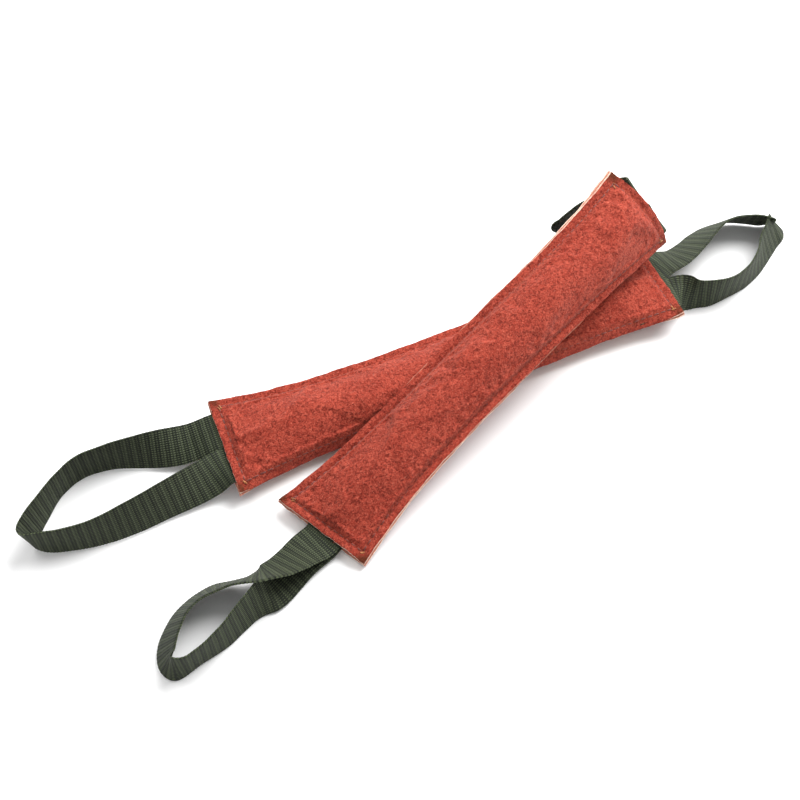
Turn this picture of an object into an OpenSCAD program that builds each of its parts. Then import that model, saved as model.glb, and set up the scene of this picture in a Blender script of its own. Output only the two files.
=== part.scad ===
// A pair of stuffed suede bite sticks, one lying across the other.
// Each stick is two leather panels sewn together round a stuffing core,
// with a webbing hand loop sewn into each end seam.
// X runs along the lower stick, Z is up, and Z = 0 is the surface they lie on.

/* [Leather body] */
// Length of a body from end edge to end edge
body_len = 300; // [290:5:310]
// Width of a body at its flat sewn ends
end_w = 65.5; // [64:0.5:66]
// Width of a body halfway along
mid_w = 48.5; // [47:0.5:50]
// Thickness of a stuffed body halfway along, leather included
mid_t = 29; // [27:0.5:29]
// Thickness of one leather panel
leather_t = 2; // [1.6:0.1:2.2]
// Distance from the cut edge in to the stitch line
seam_margin = 5; // [4:0.5:6]

/* [Stitching] */
// Distance from one needle hole to the next
stitch_pitch = 5; // [4:0.5:8]
// Thickness of the sewing thread
thread_d = 0.9; // [0.6:0.1:1.2]

/* [Webbing] */
// Width of the hand loop webbing
web_w = 24; // [20:1:25]
// Thickness of the webbing
web_t = 1.5; // [1.2:0.1:1.8]
// Length of each webbing tail sewn inside an end seam
tail_len = 28; // [20:1:32]
// Gap left between a loop's root and the end seam that it turns at
root_gap = 0.6; // [0.3:0.1:0.6]

/* [Hidden] */

// How a stick lies, as a list read through these names.
CENTRE = 0;     // plan position of its middle
YAW = 1;        // direction of its length, seen from above
END_Z = 2;      // height of its first and last end
RISE = 3;       // how far its middle bows above the straight line
SWAY = 4;       // how far its middle bends to the left of the straight line
ROLL = 5;       // roll about its length at the first and last end, left side up
END_SHIFT = 6;  // shift of its corners along its length: first left, first right, last left, last right
ARCH = 7;       // how far the sides of the last end droop below its middle
LOWER = [[0, 4.2], 0, [15, 15], -0.8, -4.2, [5, -3], [0, -4.4, 8, 4.4], 0];
UPPER = [[17, -19.5], 20.1, [5.6, 59.4], 6.4, 1, [5, 50], [-1.6, 5.6, -6, 1.5], 8.5];

// How the two webbing strands leave an end: [left offset, right offset, stacking height, straight lead-out].
LOWER_LEFT_ROOTS = [12.2, -12.2, 0, 1];
LOWER_RIGHT_ROOTS = [10.2, -14.2, 0, 2.2];
UPPER_NEAR_ROOTS = [-2.6, -3.5, web_t + 0.2, 1];
UPPER_FAR_ROOTS = [12.2, -12.2, 0, 1];

// Each loop's route from its left root to its right root:
// [out from the end edge, left of the stick's middle line, height, tilt of the webbing].
// Tilt 0 lies flat and 90 stands on edge with the left root's left edge up.
LOWER_LEFT_ROUTE = [
    [20, 14.5, 11, 18], [48, 20.5, 12, 62], [68, 25, 12.6, 82], [87, 25.3, 12.6, 88],
    [102, 18.3, 12.6, 90], [114, 8.5, 12.6, 84], [124, -1, 12.6, 78], [128.5, -8, 12.6, 78],
    [122, -13, 12.6, 90], [108, -18, 12.6, 95], [92, -20.8, 12.6, 101], [70, -20.4, 12.4, 114],
    [42, -17, 12, 128], [18, -13.5, 11, 155]
];
LOWER_RIGHT_ROUTE = [
    [14, 10.8, 14.3, -8], [27, 11.5, 13.2, -24], [39, 15, 13, -33], [51, 20, 13, -40], [62, 24, 12.5, -48],
    [71, 25.3, 12.2, -55], [80, 24.8, 12, -58], [89, 21, 12, -62], [99, 14.8, 12, -64], [106.5, 9, 11.2, -52],
    [99, 2.8, 11.5, -60], [87, -5.8, 11.6, -65], [75, -15, 12.2, -77], [61, -22, 12.4, -87],
    [47, -24.7, 12.5, -92], [34, -24, 12.4, -84], [21, -19.5, 12.2, -50]
];
UPPER_NEAR_ROUTE = [
    [12, -2.6, 8, -6], [23, -3, 11, -20], [33, -2.5, 14.5, -32], [42, 0, 17, -44], [50, 4.2, 15.5, -56],
    [58, 9.8, 13, -60], [67, 14.8, 12.2, -56], [79, 17.8, 12, -58], [91, 16.8, 12, -57], [102, 12, 12, -54],
    [109.5, 6.5, 11.8, -52], [114, 0.5, 11.6, -54], [114.5, -4.5, 11.8, -72], [109.5, -8.6, 12.3, -96],
    [100, -10.2, 12.5, -97], [84, -11.2, 12.4, -84], [69, -9.5, 12.2, -77], [58, -8.5, 12, -71],
    [49, -8, 10.5, -54], [41, -6.5, 6, -25], [31, -4.5, 3, -8], [18, -3.5, 3.8, -3]
];
UPPER_FAR_ROUTE = [
    [-1.5, 10.7, 66.8, 62], [-1.1, 14.4, 63.7, 76], [-1.8, 18.4, 58.9, 78], [-1.8, 23.5, 51.5, 70],
    [-4.5, 30, 43.5, 64], [-11, 40, 32, 68], [-19, 46, 21, 80], [-26, 48, 12.9, 90],
    [-28, 42.5, 12.5, 93], [-20, 35, 12.5, 98], [-8, 26, 14, 106], [-0.5, 17, 20, 110],
    [2, 9.5, 29, 104], [3.2, 2.1, 40.1, 96], [5.1, -1.7, 45.4, 99], [4.7, -5.1, 48.7, 119]
];
RINGS_PER_STEP = 4; // webbing cross-sections between two route points

STATIONS = 22;      // cells along a panel
CELLS_ACROSS = 12;  // cells across a panel
SWELL_EDGE = 1.5;   // distance that the inner surface keeps inside the outer one at the seams
TAIL_CELLS = 6;     // cells along and across a webbing tail
POCKET_RAMP = 6;    // length over which the end pockets close round the webbing tails
FLOOR_SIZE = 800;   // block that trims the lower stick flat where it rests

LEATHER = "firebrick";
CUT_LEATHER = "indianred";
FILL = "tan";
THREAD = "maroon";
WEBBING = "darkolivegreen";

half_len = body_len / 2;
swell_h = mid_t / 2 - leather_t;

function lerp(a, b, t) = a + (b - a) * t;
function clamp01(t) = max(0, min(1, t));
function along(u) = u / half_len;
function unit(v) = v / norm(v);

// Half the width of a body at distance u from its middle: the stuffing draws the sides in.
function half_w(u) = mid_w / 2 + (end_w - mid_w) / 2 * pow(abs(along(u)), 3.6);

// The stick's own directions, as [along, left, up] at distance u from its middle.
function pitch(st) = asin((st[END_Z][1] - st[END_Z][0]) / body_len);
function roll(st, u) = lerp(st[ROLL][0], st[ROLL][1], pow((1 + along(u)) / 2, 2));
function axes(st, u) =
    let (
        run = [cos(st[YAW]) * cos(pitch(st)), sin(st[YAW]) * cos(pitch(st)), sin(pitch(st))],
        left = [-sin(st[YAW]), cos(st[YAW]), 0],
        up = cross(run, left)
    )
    [run, left * cos(roll(st, u)) + up * sin(roll(st, u)), up * cos(roll(st, u)) - left * sin(roll(st, u))];

// Middle line of a stick
function middle(st, u) =
    let (
        bend = 1 - pow(along(u), 2),
        reach = u * cos(pitch(st)),
        run = [cos(st[YAW]), sin(st[YAW])],
        left = [-sin(st[YAW]), cos(st[YAW])],
        plan = st[CENTRE] + run * reach + left * st[SWAY] * bend
    )
    [plan.x, plan.y, lerp(st[END_Z][0], st[END_Z][1], (1 + along(u)) / 2) + st[RISE] * bend];

// A point of a stick: u along it, v to its left, h above its middle surface
function at(st, u, v, h) =
    let (
        s = along(u),
        t = v / half_w(u),
        last = pow((1 + s) / 2, 4),
        shift_left = lerp(st[END_SHIFT][0], st[END_SHIFT][2], (1 + s) / 2),
        shift_right = lerp(st[END_SHIFT][1], st[END_SHIFT][3], (1 + s) / 2),
        shift = lerp(shift_right, shift_left, (1 + t) / 2),
        frame = axes(st, u)
    )
    middle(st, u) + frame[0] * shift + frame[1] * v + frame[2] * (h - st[ARCH] * last * t * t);

// Height of the stuffed surface above the seam, inset by a distance from the stitch line
function swell(u, v, inset) =
    let (
        reach = half_len - seam_margin - inset,
        width = half_w(u) - seam_margin - inset
    )
    swell_h * sqrt(max(0, 1 - pow(abs(u) / reach, 4))) * pow(max(0, 1 - pow(v / width, 2)), 0.68);

// Half the gap that the webbing tails hold open in an end seam
function pocket(u, v, gaps) =
    let (gap = u < 0 ? gaps[0] : gaps[1])
    gap / 2 * clamp01((abs(u) - half_len + tail_len + POCKET_RAMP) / POCKET_RAMP)
        * clamp01((half_w(u) - seam_margin + 1 - abs(v)) / 3);

function inner_h(u, v, gaps) = max(pocket(u, v, gaps), swell(u, v, SWELL_EDGE));
function outer_h(u, v, gaps) = leather_t + max(pocket(u, v, gaps), swell(u, v, 0));

// Stations closer together towards the ends and the side seams, where the surface turns fastest
function station(i) = -half_len * cos(180 * i / STATIONS);
function across(j) = -cos(180 * j / CELLS_ACROSS);

function gaps_of(near_roots, far_roots) =
    [web_t + near_roots[2], web_t + far_roots[2]];
LOWER_GAPS = gaps_of(LOWER_LEFT_ROOTS, LOWER_RIGHT_ROOTS);
UPPER_GAPS = gaps_of(UPPER_NEAR_ROOTS, UPPER_FAR_ROOTS);

// One surface of a stick as a grid of points: side is 1 above the seam and -1 below it
function skin(st, side, outer, gaps) =
    [for (i = [0 : STATIONS]) [for (j = [0 : CELLS_ACROSS])
        let (
            u = station(i),
            v = across(j) * half_w(u),
            h = outer ? outer_h(u, v, gaps) : inner_h(u, v, gaps)
        )
        at(st, u, v, side * h)]];

// The stuffing's surface stops short of the stitching
function core_skin(st, side) =
    [for (i = [0 : STATIONS]) [for (j = [0 : CELLS_ACROSS])
        let (
            u = station(i) * (half_len - seam_margin - 3) / half_len,
            v = across(j) * (half_w(u) - seam_margin - SWELL_EDGE - 0.5),
            h = max(0.1, swell(u, v, SWELL_EDGE) - 0.1)
        )
        at(st, u, v, side * h)]];

// A closed solid between two grids of the same size, the upper one first
module slab(upper, lower) {
    rows = len(upper) - 1;
    cols = len(upper[0]) - 1;
    count = (rows + 1) * (cols + 1);
    top = function(i, j) i * (cols + 1) + j;
    bottom = function(i, j) count + top(i, j);
    sheet_faces = [for (i = [0 : rows - 1]) for (j = [0 : cols - 1]) each [
        [top(i, j), top(i, j + 1), top(i + 1, j + 1)],
        [top(i, j), top(i + 1, j + 1), top(i + 1, j)],
        [bottom(i, j), bottom(i + 1, j + 1), bottom(i, j + 1)],
        [bottom(i, j), bottom(i + 1, j), bottom(i + 1, j + 1)]
    ]];
    end_faces = [for (j = [0 : cols - 1]) each [
        [top(0, j), bottom(0, j), bottom(0, j + 1)],
        [top(0, j), bottom(0, j + 1), top(0, j + 1)],
        [top(rows, j), bottom(rows, j + 1), bottom(rows, j)],
        [top(rows, j), top(rows, j + 1), bottom(rows, j + 1)]
    ]];
    side_faces = [for (i = [0 : rows - 1]) each [
        [top(i, 0), bottom(i + 1, 0), bottom(i, 0)],
        [top(i, 0), top(i + 1, 0), bottom(i + 1, 0)],
        [top(i, cols), bottom(i, cols), bottom(i + 1, cols)],
        [top(i, cols), bottom(i + 1, cols), top(i + 1, cols)]
    ]];
    polyhedron(
        points = [for (grid = [upper, lower]) for (row = grid) each row],
        faces = concat(sheet_faces, end_faces, side_faces)
    );
}

module panel(st, side, gaps) {
    outer = skin(st, side, true, gaps);
    inner = skin(st, side, false, gaps);
    if (side > 0) slab(outer, inner);
    else slab(inner, outer);
}

module stuffing(st) slab(core_skin(st, 1), core_skin(st, -1));

// Keeps what lies above the floor, which leaves a flat face where the weight rests
module above_floor() {
    intersection() {
        children();
        translate([-FLOOR_SIZE / 2, -FLOOR_SIZE / 2, 0]) cube([FLOOR_SIZE, FLOOR_SIZE, FLOOR_SIZE / 4]);
    }
}

// Where a strand of webbing crosses an end edge: k is 0 for the left strand and 1 for the right.
// end is -1 for the first end and 1 for the last.
function strand(st, end, roots, k) =
    at(st, end * half_len, roots[k], roots[2] * (0.5 - k));

// The frame of an end seam: [middle of the hinge line, direction of the line to the left, outward, up]
function root_clearance(roots) = root_gap + (web_t + roots[2]) / 2;
function seam_frame(st, end, roots) =
    let (
        left = at(st, end * half_len, half_w(half_len), 0),
        right = at(st, end * half_len, -half_w(half_len), 0),
        line = unit(left - right),
        run = axes(st, end * half_len)[0] * end,
        out = unit(run - line * (run * line)),
        up = unit(cross(out, line)) * end,
        middle = (strand(st, end, roots, 0) + strand(st, end, roots, 1)) / 2
    )
    [middle + out * root_clearance(roots), line, out, up];

// The whole path of a loop's webbing, as [point, tilt]
function loop_path(st, end, roots, route) =
    let (
        frame = seam_frame(st, end, roots),
        run = [cos(st[YAW]), sin(st[YAW]), 0],
        left = [-sin(st[YAW]), cos(st[YAW]), 0],
        base = middle(st, end * half_len),
        floor_base = [base.x, base.y, 0],
        spots = [for (p = route) floor_base + run * (end * p[0]) + left * p[1] + [0, 0, p[2]]],
        clear = frame[2] * root_clearance(roots),
        lead = frame[2] * roots[3],
        first = strand(st, end, roots, 0) + clear,
        last = strand(st, end, roots, 1) + clear,
        points = concat([first, first + lead], spots, [last + lead, last]),
        end_roll = roll(st, end * half_len),
        last_tilt = (route[len(route) - 1][3] > 90 ? 180 : 0) - end_roll,
        tilts = concat([end_roll, end_roll], [for (p = route) p[3]], [last_tilt, last_tilt])
    )
    [for (i = [0 : len(points) - 1]) [points[i], tilts[i]]];

// Smooth curve through a path of [point, tilt], with its slopes weighed by the lengths of its steps
function step_of(path, i) = norm(path[i + 1][0] - path[i][0]);
function slope(path, i) =
    let (
        last = len(path) - 1,
        before = i == 0 ? 0 : i - 1,
        after = i == last ? last - 1 : i
    )
    [for (k = [0, 1]) ((path[before + 1][k] - path[before][k]) / step_of(path, before)
        + (path[after + 1][k] - path[after][k]) / step_of(path, after)) / 2];
function hermite(a, slope_a, b, slope_b, t) =
    a * (2 * t * t * t - 3 * t * t + 1) + slope_a * (t * t * t - 2 * t * t + t)
        + b * (3 * t * t - 2 * t * t * t) + slope_b * (t * t * t - t * t);
function smoothed(path) =
    let (last = len(path) - 1)
    concat(
        [for (i = [0 : last - 1]) for (r = [0 : RINGS_PER_STEP - 1])
            let (
                length = step_of(path, i),
                a = slope(path, i),
                b = slope(path, i + 1)
            )
            [for (k = [0, 1])
                hermite(path[i][k], a[k] * length, path[i + 1][k], b[k] * length, r / RINGS_PER_STEP)]],
        [path[last]]
    );

// Four corners of the webbing at each ring of a smoothed path. The width direction is level and to the
// left of the way out at the first root, and the tilt turns it about the webbing's length.
function web_rings(rings, end) =
    let (last = len(rings) - 1)
    [for (i = [0 : last])
        let (
            ahead = rings[min(last, i + 1)][0] - rings[max(0, i - 1)][0],
            tangent = unit(ahead),
            side = unit(cross([0, 0, 1], tangent)) * end,
            rise = unit(cross(tangent, side)) * end,
            width = (side * cos(rings[i][1]) + rise * sin(rings[i][1])) * web_w / 2,
            thick = unit(cross(tangent, width)) * web_t / 2,
            p = rings[i][0]
        )
        [p + width - thick, p - width - thick, p - width + thick, p + width + thick]];

// A closed solid through rings of four corners, both broad faces split along the same diagonals
function wall(i, k) =
    let (
        a = 4 * i + k,
        b = 4 * i + (k + 1) % 4
    )
    k < 2 ? [[a, b, b + 4], [a, b + 4, a + 4]] : [[a, b, a + 4], [b, b + 4, a + 4]];
module swept(rings) {
    last = len(rings) - 1;
    wall_faces = [for (i = [0 : last - 1]) for (k = [0 : 3]) each wall(i, k)];
    caps = [
        [0, 2, 1], [0, 3, 2],
        [4 * last, 4 * last + 1, 4 * last + 2], [4 * last, 4 * last + 2, 4 * last + 3]
    ];
    polyhedron(points = [for (ring = rings) each ring], faces = concat(wall_faces, caps));
}

module loop(st, end, roots, route) swept(web_rings(smoothed(loop_path(st, end, roots, route)), end));

// The webbing that is sewn inside an end seam: two strips that follow the seam
module tails(st, end, roots) {
    for (k = [0, 1]) {
        strip = function(side)
            [for (i = [0 : TAIL_CELLS]) [for (j = [0 : TAIL_CELLS])
                let (
                    u = end * half_len - (end + 1) / 2 * tail_len + tail_len * i / TAIL_CELLS,
                    v = roots[k] + web_w * (j / TAIL_CELLS - 0.5)
                )
                at(st, u, v, roots[2] * (0.5 - k) + side * web_t / 2)]];
        slab(strip(1), strip(-1));
    }
}

// Places the stitches of a seam: a stitch lies on the outer surface, along the seam
module stitch_at(st, u, v, turn, side, gaps) {
    frame = axes(st, u);
    h = side * (leather_t + pocket(u, v, gaps));
    p = at(st, u, v, h);
    dir = turn ? frame[1] : frame[0];
    other = cross(frame[2], dir);
    multmatrix([
        [dir.x, other.x, frame[2].x, p.x],
        [dir.y, other.y, frame[2].y, p.y],
        [dir.z, other.z, frame[2].z, p.z]
    ]) cube([stitch_pitch * 0.6, thread_d, thread_d], center = true);
}

module thread(st, side, gaps) {
    seam_u = half_len - seam_margin;
    side_count = round(2 * seam_u / stitch_pitch);
    end_half = half_w(seam_u) - seam_margin;
    end_count = round(2 * end_half / stitch_pitch);
    for (i = [0 : side_count - 1]) {
        u = lerp(-seam_u, seam_u, (i + 0.5) / side_count);
        v = half_w(u) - seam_margin;
        for (row = [-1, 1]) stitch_at(st, u, row * v, false, side, gaps);
    }
    for (j = [0 : end_count - 1]) {
        v = lerp(-end_half, end_half, (j + 0.5) / end_count);
        for (row = [-1, 1]) stitch_at(st, row * seam_u, v, true, side, gaps);
    }
}

module lower_top_panel() { color(LEATHER) panel(LOWER, 1, LOWER_GAPS); }
module lower_bottom_panel() { color(CUT_LEATHER) above_floor() panel(LOWER, -1, LOWER_GAPS); }
module lower_stuffing() { color(FILL) stuffing(LOWER); }
module lower_needle_thread() { color(THREAD) thread(LOWER, 1, LOWER_GAPS); }
module lower_bobbin_thread() { color(THREAD) thread(LOWER, -1, LOWER_GAPS); }
module lower_left_tails() { color(WEBBING) tails(LOWER, -1, LOWER_LEFT_ROOTS); }
module lower_right_tails() { color(WEBBING) tails(LOWER, 1, LOWER_RIGHT_ROOTS); }
module lower_left_loop() { color(WEBBING) loop(LOWER, -1, LOWER_LEFT_ROOTS, LOWER_LEFT_ROUTE); }
module lower_right_loop() { color(WEBBING) loop(LOWER, 1, LOWER_RIGHT_ROOTS, LOWER_RIGHT_ROUTE); }
module upper_top_panel() { color(LEATHER) panel(UPPER, 1, UPPER_GAPS); }
module upper_bottom_panel() { color(CUT_LEATHER) panel(UPPER, -1, UPPER_GAPS); }
module upper_stuffing() { color(FILL) stuffing(UPPER); }
module upper_needle_thread() { color(THREAD) thread(UPPER, 1, UPPER_GAPS); }
module upper_bobbin_thread() { color(THREAD) thread(UPPER, -1, UPPER_GAPS); }
module upper_near_tails() { color(WEBBING) tails(UPPER, -1, UPPER_NEAR_ROOTS); }
module upper_far_tails() { color(WEBBING) tails(UPPER, 1, UPPER_FAR_ROOTS); }
module upper_near_loop() { color(WEBBING) loop(UPPER, -1, UPPER_NEAR_ROOTS, UPPER_NEAR_ROUTE); }
module upper_far_loop() { color(WEBBING) loop(UPPER, 1, UPPER_FAR_ROOTS, UPPER_FAR_ROUTE); }

lower_top_panel();
lower_bottom_panel();
lower_stuffing();
lower_needle_thread();
lower_bobbin_thread();
lower_left_tails();
lower_right_tails();
lower_left_loop();
lower_right_loop();
upper_top_panel();
upper_bottom_panel();
upper_stuffing();
upper_needle_thread();
upper_bobbin_thread();
upper_near_tails();
upper_far_tails();
upper_near_loop();
upper_far_loop();
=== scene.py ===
import math
import random

import bpy
import numpy as np
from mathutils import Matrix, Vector


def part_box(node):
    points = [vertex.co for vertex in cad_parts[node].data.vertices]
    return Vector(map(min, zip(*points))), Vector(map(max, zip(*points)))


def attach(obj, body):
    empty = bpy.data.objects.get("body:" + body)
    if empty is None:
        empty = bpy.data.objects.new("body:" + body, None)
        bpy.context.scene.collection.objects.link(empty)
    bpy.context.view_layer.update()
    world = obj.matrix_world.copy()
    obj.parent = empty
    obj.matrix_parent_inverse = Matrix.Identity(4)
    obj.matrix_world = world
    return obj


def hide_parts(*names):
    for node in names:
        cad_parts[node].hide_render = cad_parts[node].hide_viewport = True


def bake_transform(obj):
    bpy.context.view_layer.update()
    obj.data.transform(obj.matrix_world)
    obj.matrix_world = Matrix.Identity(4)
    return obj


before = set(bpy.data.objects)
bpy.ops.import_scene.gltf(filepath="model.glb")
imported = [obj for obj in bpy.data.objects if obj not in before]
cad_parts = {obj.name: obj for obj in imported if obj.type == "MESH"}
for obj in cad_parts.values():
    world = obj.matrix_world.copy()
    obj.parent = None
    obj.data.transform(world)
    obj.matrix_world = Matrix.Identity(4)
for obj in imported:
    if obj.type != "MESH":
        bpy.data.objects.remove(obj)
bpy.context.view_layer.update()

MM = 0.001

# ---- Driving sizes, from the frame -------------------------------------------------------------

BODY_LENGTH = 300 * MM
HALF = BODY_LENGTH / 2
END_W = 65.5 * MM
MID_W = 48.5 * MM
MID_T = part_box("lower_top_panel")[1][2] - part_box("lower_bottom_panel")[0][2] + 0.3 * MM
LEATHER = 2 * MM
SEAM = 5 * MM
SWELL = MID_T / 2 - LEATHER
SWELL_EDGE = 1.5 * MM
PITCH = 4.6 * MM
THREAD = 0.9 * MM
WEB_W = 24 * MM
WEB_T = 1.5 * MM
TAIL = 28 * MM
POCKET_RAMP = 6 * MM
ROOT_GAP = 0.6 * MM
FLOOR_GAP = 0.05 * MM

# How each stick lies, as in the CAD: lengths in metres, angles in degrees. groove is how deep the stitches
# pull the leather in at the -u and +u ends, bow how far the +u end's cut edge bulges out and hang the
# angle that the seam on the right side hangs down by.
STICKS = {
    "lower": dict(
        centre=(0, 0.0042), yaw=0, end_z=(0.015, 0.015), rise=-0.0008, sway=-0.0042,
        roll=(5, -3), shift=(0, -0.0044, 0.008, 0.0044), arch=0,
        body="lower_stick", seed=3, groove=(0.2, 0.6), bow=0, hang=62,
    ),
    "upper": dict(
        centre=(0.017, -0.0195), yaw=20.1, end_z=(0.0056, 0.0594), rise=0.0064, sway=0.001,
        roll=(5, 50), shift=(-0.0016, 0.0056, -0.006, 0.0015), arch=0.0085,
        body="upper_stick", seed=11, groove=(1.2, 0.3), bow=0.0018, hang=0,
    ),
}

# Each loop: its stick, end, root offsets [left, right, stacking] and its route from the left root to the
# right one, as [out from the end edge, left of the stick's middle line, height, tilt].
LOOPS = {
    "lower_left": dict(
        stick="lower", end=-1, body="lower_loop_left", roots=(0.0122, -0.0122, 0), lead=0.001,
        route=[
            [0.020, 0.0145, 0.011, 18], [0.048, 0.0205, 0.012, 62], [0.068, 0.025, 0.0126, 82],
            [0.087, 0.0253, 0.0126, 88], [0.102, 0.0183, 0.0126, 90], [0.114, 0.0085, 0.0126, 84],
            [0.124, -0.001, 0.0126, 78], [0.1285, -0.008, 0.0126, 78], [0.122, -0.013, 0.0126, 90],
            [0.108, -0.018, 0.0126, 95], [0.092, -0.0208, 0.0126, 101], [0.070, -0.0204, 0.0124, 114],
            [0.042, -0.017, 0.012, 128], [0.018, -0.0135, 0.011, 155],
        ],
    ),
    "lower_right": dict(
        stick="lower", end=1, body="lower_loop_right", roots=(0.0102, -0.0142, 0), lead=0.0022,
        route=[
            [0.014, 0.0108, 0.0143, -8], [0.027, 0.0115, 0.0132, -24], [0.039, 0.015, 0.013, -33],
            [0.051, 0.020, 0.013, -40], [0.062, 0.024, 0.0125, -48], [0.071, 0.0253, 0.0122, -55],
            [0.080, 0.0248, 0.012, -58], [0.089, 0.021, 0.012, -62], [0.099, 0.0148, 0.012, -64],
            [0.1065, 0.009, 0.0112, -52], [0.099, 0.0028, 0.0115, -60], [0.087, -0.0058, 0.0116, -65],
            [0.075, -0.015, 0.0122, -77], [0.061, -0.022, 0.0124, -87], [0.047, -0.0247, 0.0125, -92],
            [0.034, -0.024, 0.0124, -84], [0.021, -0.0188, 0.0118, -70],
        ],
    ),
    "upper_near": dict(
        stick="upper", end=-1, body="upper_loop_near",
        roots=(-0.0026, -0.0035, WEB_T + 0.2 * MM), lead=0.001,
        route=[
            [0.012, -0.0026, 0.008, -6], [0.023, -0.003, 0.011, -20], [0.033, -0.0025, 0.0145, -32],
            [0.042, 0, 0.017, -44], [0.050, 0.0042, 0.0155, -56], [0.058, 0.0098, 0.013, -60],
            [0.067, 0.0148, 0.0122, -56], [0.079, 0.0178, 0.012, -58], [0.091, 0.0168, 0.012, -57],
            [0.102, 0.012, 0.012, -55], [0.1095, 0.0065, 0.0118, -56], [0.114, 0.0005, 0.0116, -63],
            [0.1145, -0.0045, 0.0118, -76], [0.1095, -0.0086, 0.0123, -89], [0.100, -0.0102, 0.0125, -92],
            [0.084, -0.0112, 0.0124, -84], [0.069, -0.0095, 0.0122, -77], [0.058, -0.0085, 0.012, -71],
            [0.049, -0.008, 0.0105, -54], [0.041, -0.0065, 0.006, -25], [0.031, -0.0045, 0.003, -8],
            [0.018, -0.0035, 0.0038, -3],
        ],
    ),
    "upper_far": dict(
        stick="upper", end=1, body="upper_loop_far", roots=(0.0122, -0.0122, 0), lead=0.001,
        route=[
            [-0.0015, 0.0107, 0.0668, 62], [-0.0011, 0.0144, 0.0637, 76], [-0.0018, 0.0184, 0.0589, 78],
            [-0.0018, 0.0235, 0.0515, 70], [-0.0045, 0.03, 0.0435, 64], [-0.011, 0.04, 0.032, 68],
            [-0.019, 0.046, 0.021, 80], [-0.026, 0.048, 0.0129, 90], [-0.028, 0.0425, 0.0125, 93],
            [-0.02, 0.035, 0.0125, 98], [-0.008, 0.026, 0.014, 106], [-0.0005, 0.017, 0.02, 110],
            [0.002, 0.0095, 0.029, 104], [0.0032, 0.0021, 0.0401, 96], [0.0051, -0.0017, 0.0454, 99],
            [0.0047, -0.0051, 0.0487, 119],
        ],
    ),
}


# ---- Small helpers -----------------------------------------------------------------------------

def lerp(a, b, t):
    return a + (b - a) * t


def unit(v):
    v = np.asarray(v, float)
    return v / np.linalg.norm(v, axis=-1, keepdims=True)


def ramp(x, low, high):
    """0 below low, 1 above high and smooth between them"""
    t = np.clip((x - low) / (high - low), 0, 1)
    return t * t * (3 - 2 * t)


def wave_noise(x, seed, period, terms=6):
    """A smooth random line of x between about -1 and 1, with its longest wave near period"""
    rng = random.Random(seed)
    total = np.zeros_like(np.asarray(x, float))
    for k in range(terms):
        length = period / (1 + 0.75 * k)
        total = total + np.sin(2 * math.pi * (x / length + rng.random())) / (1 + 0.45 * k)
    return total / (terms * 0.42)


def noise_2d(x, y, seed, period, terms=10):
    """A smooth random field between about -1 and 1, with waves near period in all directions"""
    rng = random.Random(seed)
    total = np.zeros_like(np.asarray(x, float))
    for k in range(terms):
        angle = rng.random() * 2 * math.pi
        length = period * (0.55 + 0.9 * rng.random())
        phase = rng.random()
        total = total + np.sin(2 * math.pi * ((x * math.cos(angle) + y * math.sin(angle)) / length + phase))
    return total / math.sqrt(terms * 1.2)


def new_object(name, vertices, faces, materials, face_materials=None, smooth=True):
    mesh = bpy.data.meshes.new(name)
    mesh.from_pydata([tuple(v) for v in vertices], [], [tuple(f) for f in faces])
    for material in materials:
        mesh.materials.append(material)
    if face_materials is not None:
        mesh.polygons.foreach_set("material_index", np.asarray(face_materials, dtype=np.int32))
    mesh.polygons.foreach_set("use_smooth", np.full(len(mesh.polygons), smooth, dtype=bool))
    mesh.update()
    obj = bpy.data.objects.new(name, mesh)
    bpy.context.scene.collection.objects.link(obj)
    return obj


# ---- The stick's own space, the same formulas as the CAD ---------------------------------------

def half_w(u):
    return MID_W / 2 + (END_W - MID_W) / 2 * np.abs(u / HALF) ** 3.6


def stick_axes(st, u):
    s = np.asarray(u, float) / HALF
    yaw = math.radians(st["yaw"])
    pitch = math.asin((st["end_z"][1] - st["end_z"][0]) / BODY_LENGTH)
    run = np.array([math.cos(yaw) * math.cos(pitch), math.sin(yaw) * math.cos(pitch), math.sin(pitch)])
    left = np.array([-math.sin(yaw), math.cos(yaw), 0.0])
    up = np.cross(run, left)
    roll = np.radians(lerp(st["roll"][0], st["roll"][1], ((1 + s) / 2) ** 2))[..., None]
    across = left * np.cos(roll) + up * np.sin(roll)
    normal = up * np.cos(roll) - left * np.sin(roll)
    return run, across, normal


def stick_middle(st, u):
    s = np.asarray(u, float) / HALF
    yaw = math.radians(st["yaw"])
    pitch = math.asin((st["end_z"][1] - st["end_z"][0]) / BODY_LENGTH)
    bend = 1 - s * s
    reach = u * math.cos(pitch)
    x = st["centre"][0] + reach * math.cos(yaw) - st["sway"] * bend * math.sin(yaw)
    y = st["centre"][1] + reach * math.sin(yaw) + st["sway"] * bend * math.cos(yaw)
    z = lerp(st["end_z"][0], st["end_z"][1], (1 + s) / 2) + st["rise"] * bend
    return np.stack([x, y, z], -1)


def at(st, u, v, h):
    """Points of a stick: u along it, v to its left, h above its middle surface"""
    u, v, h = np.broadcast_arrays(np.asarray(u, float), np.asarray(v, float), np.asarray(h, float))
    s = u / HALF
    t = v / half_w(u)
    last = ((1 + s) / 2) ** 4
    left_shift = lerp(st["shift"][0], st["shift"][2], (1 + s) / 2)
    right_shift = lerp(st["shift"][1], st["shift"][3], (1 + s) / 2)
    shift = lerp(right_shift, left_shift, (1 + t) / 2)
    run, across, normal = stick_axes(st, u)
    beyond = np.clip(-v - half_w(u) + SEAM + 1 * MM, 0, None)
    turn = math.radians(st["hang"]) * ramp(beyond, 0, 3 * MM) * (1 - np.abs(s) ** 10)
    v = v + beyond * (1 - np.cos(turn)) - h * np.sin(turn)
    h = h * np.cos(turn) - beyond * np.sin(turn)
    return (
        stick_middle(st, u) + run * shift[..., None] + across * v[..., None]
        + normal * (h - st["arch"] * last * t * t)[..., None]
    )


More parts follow.
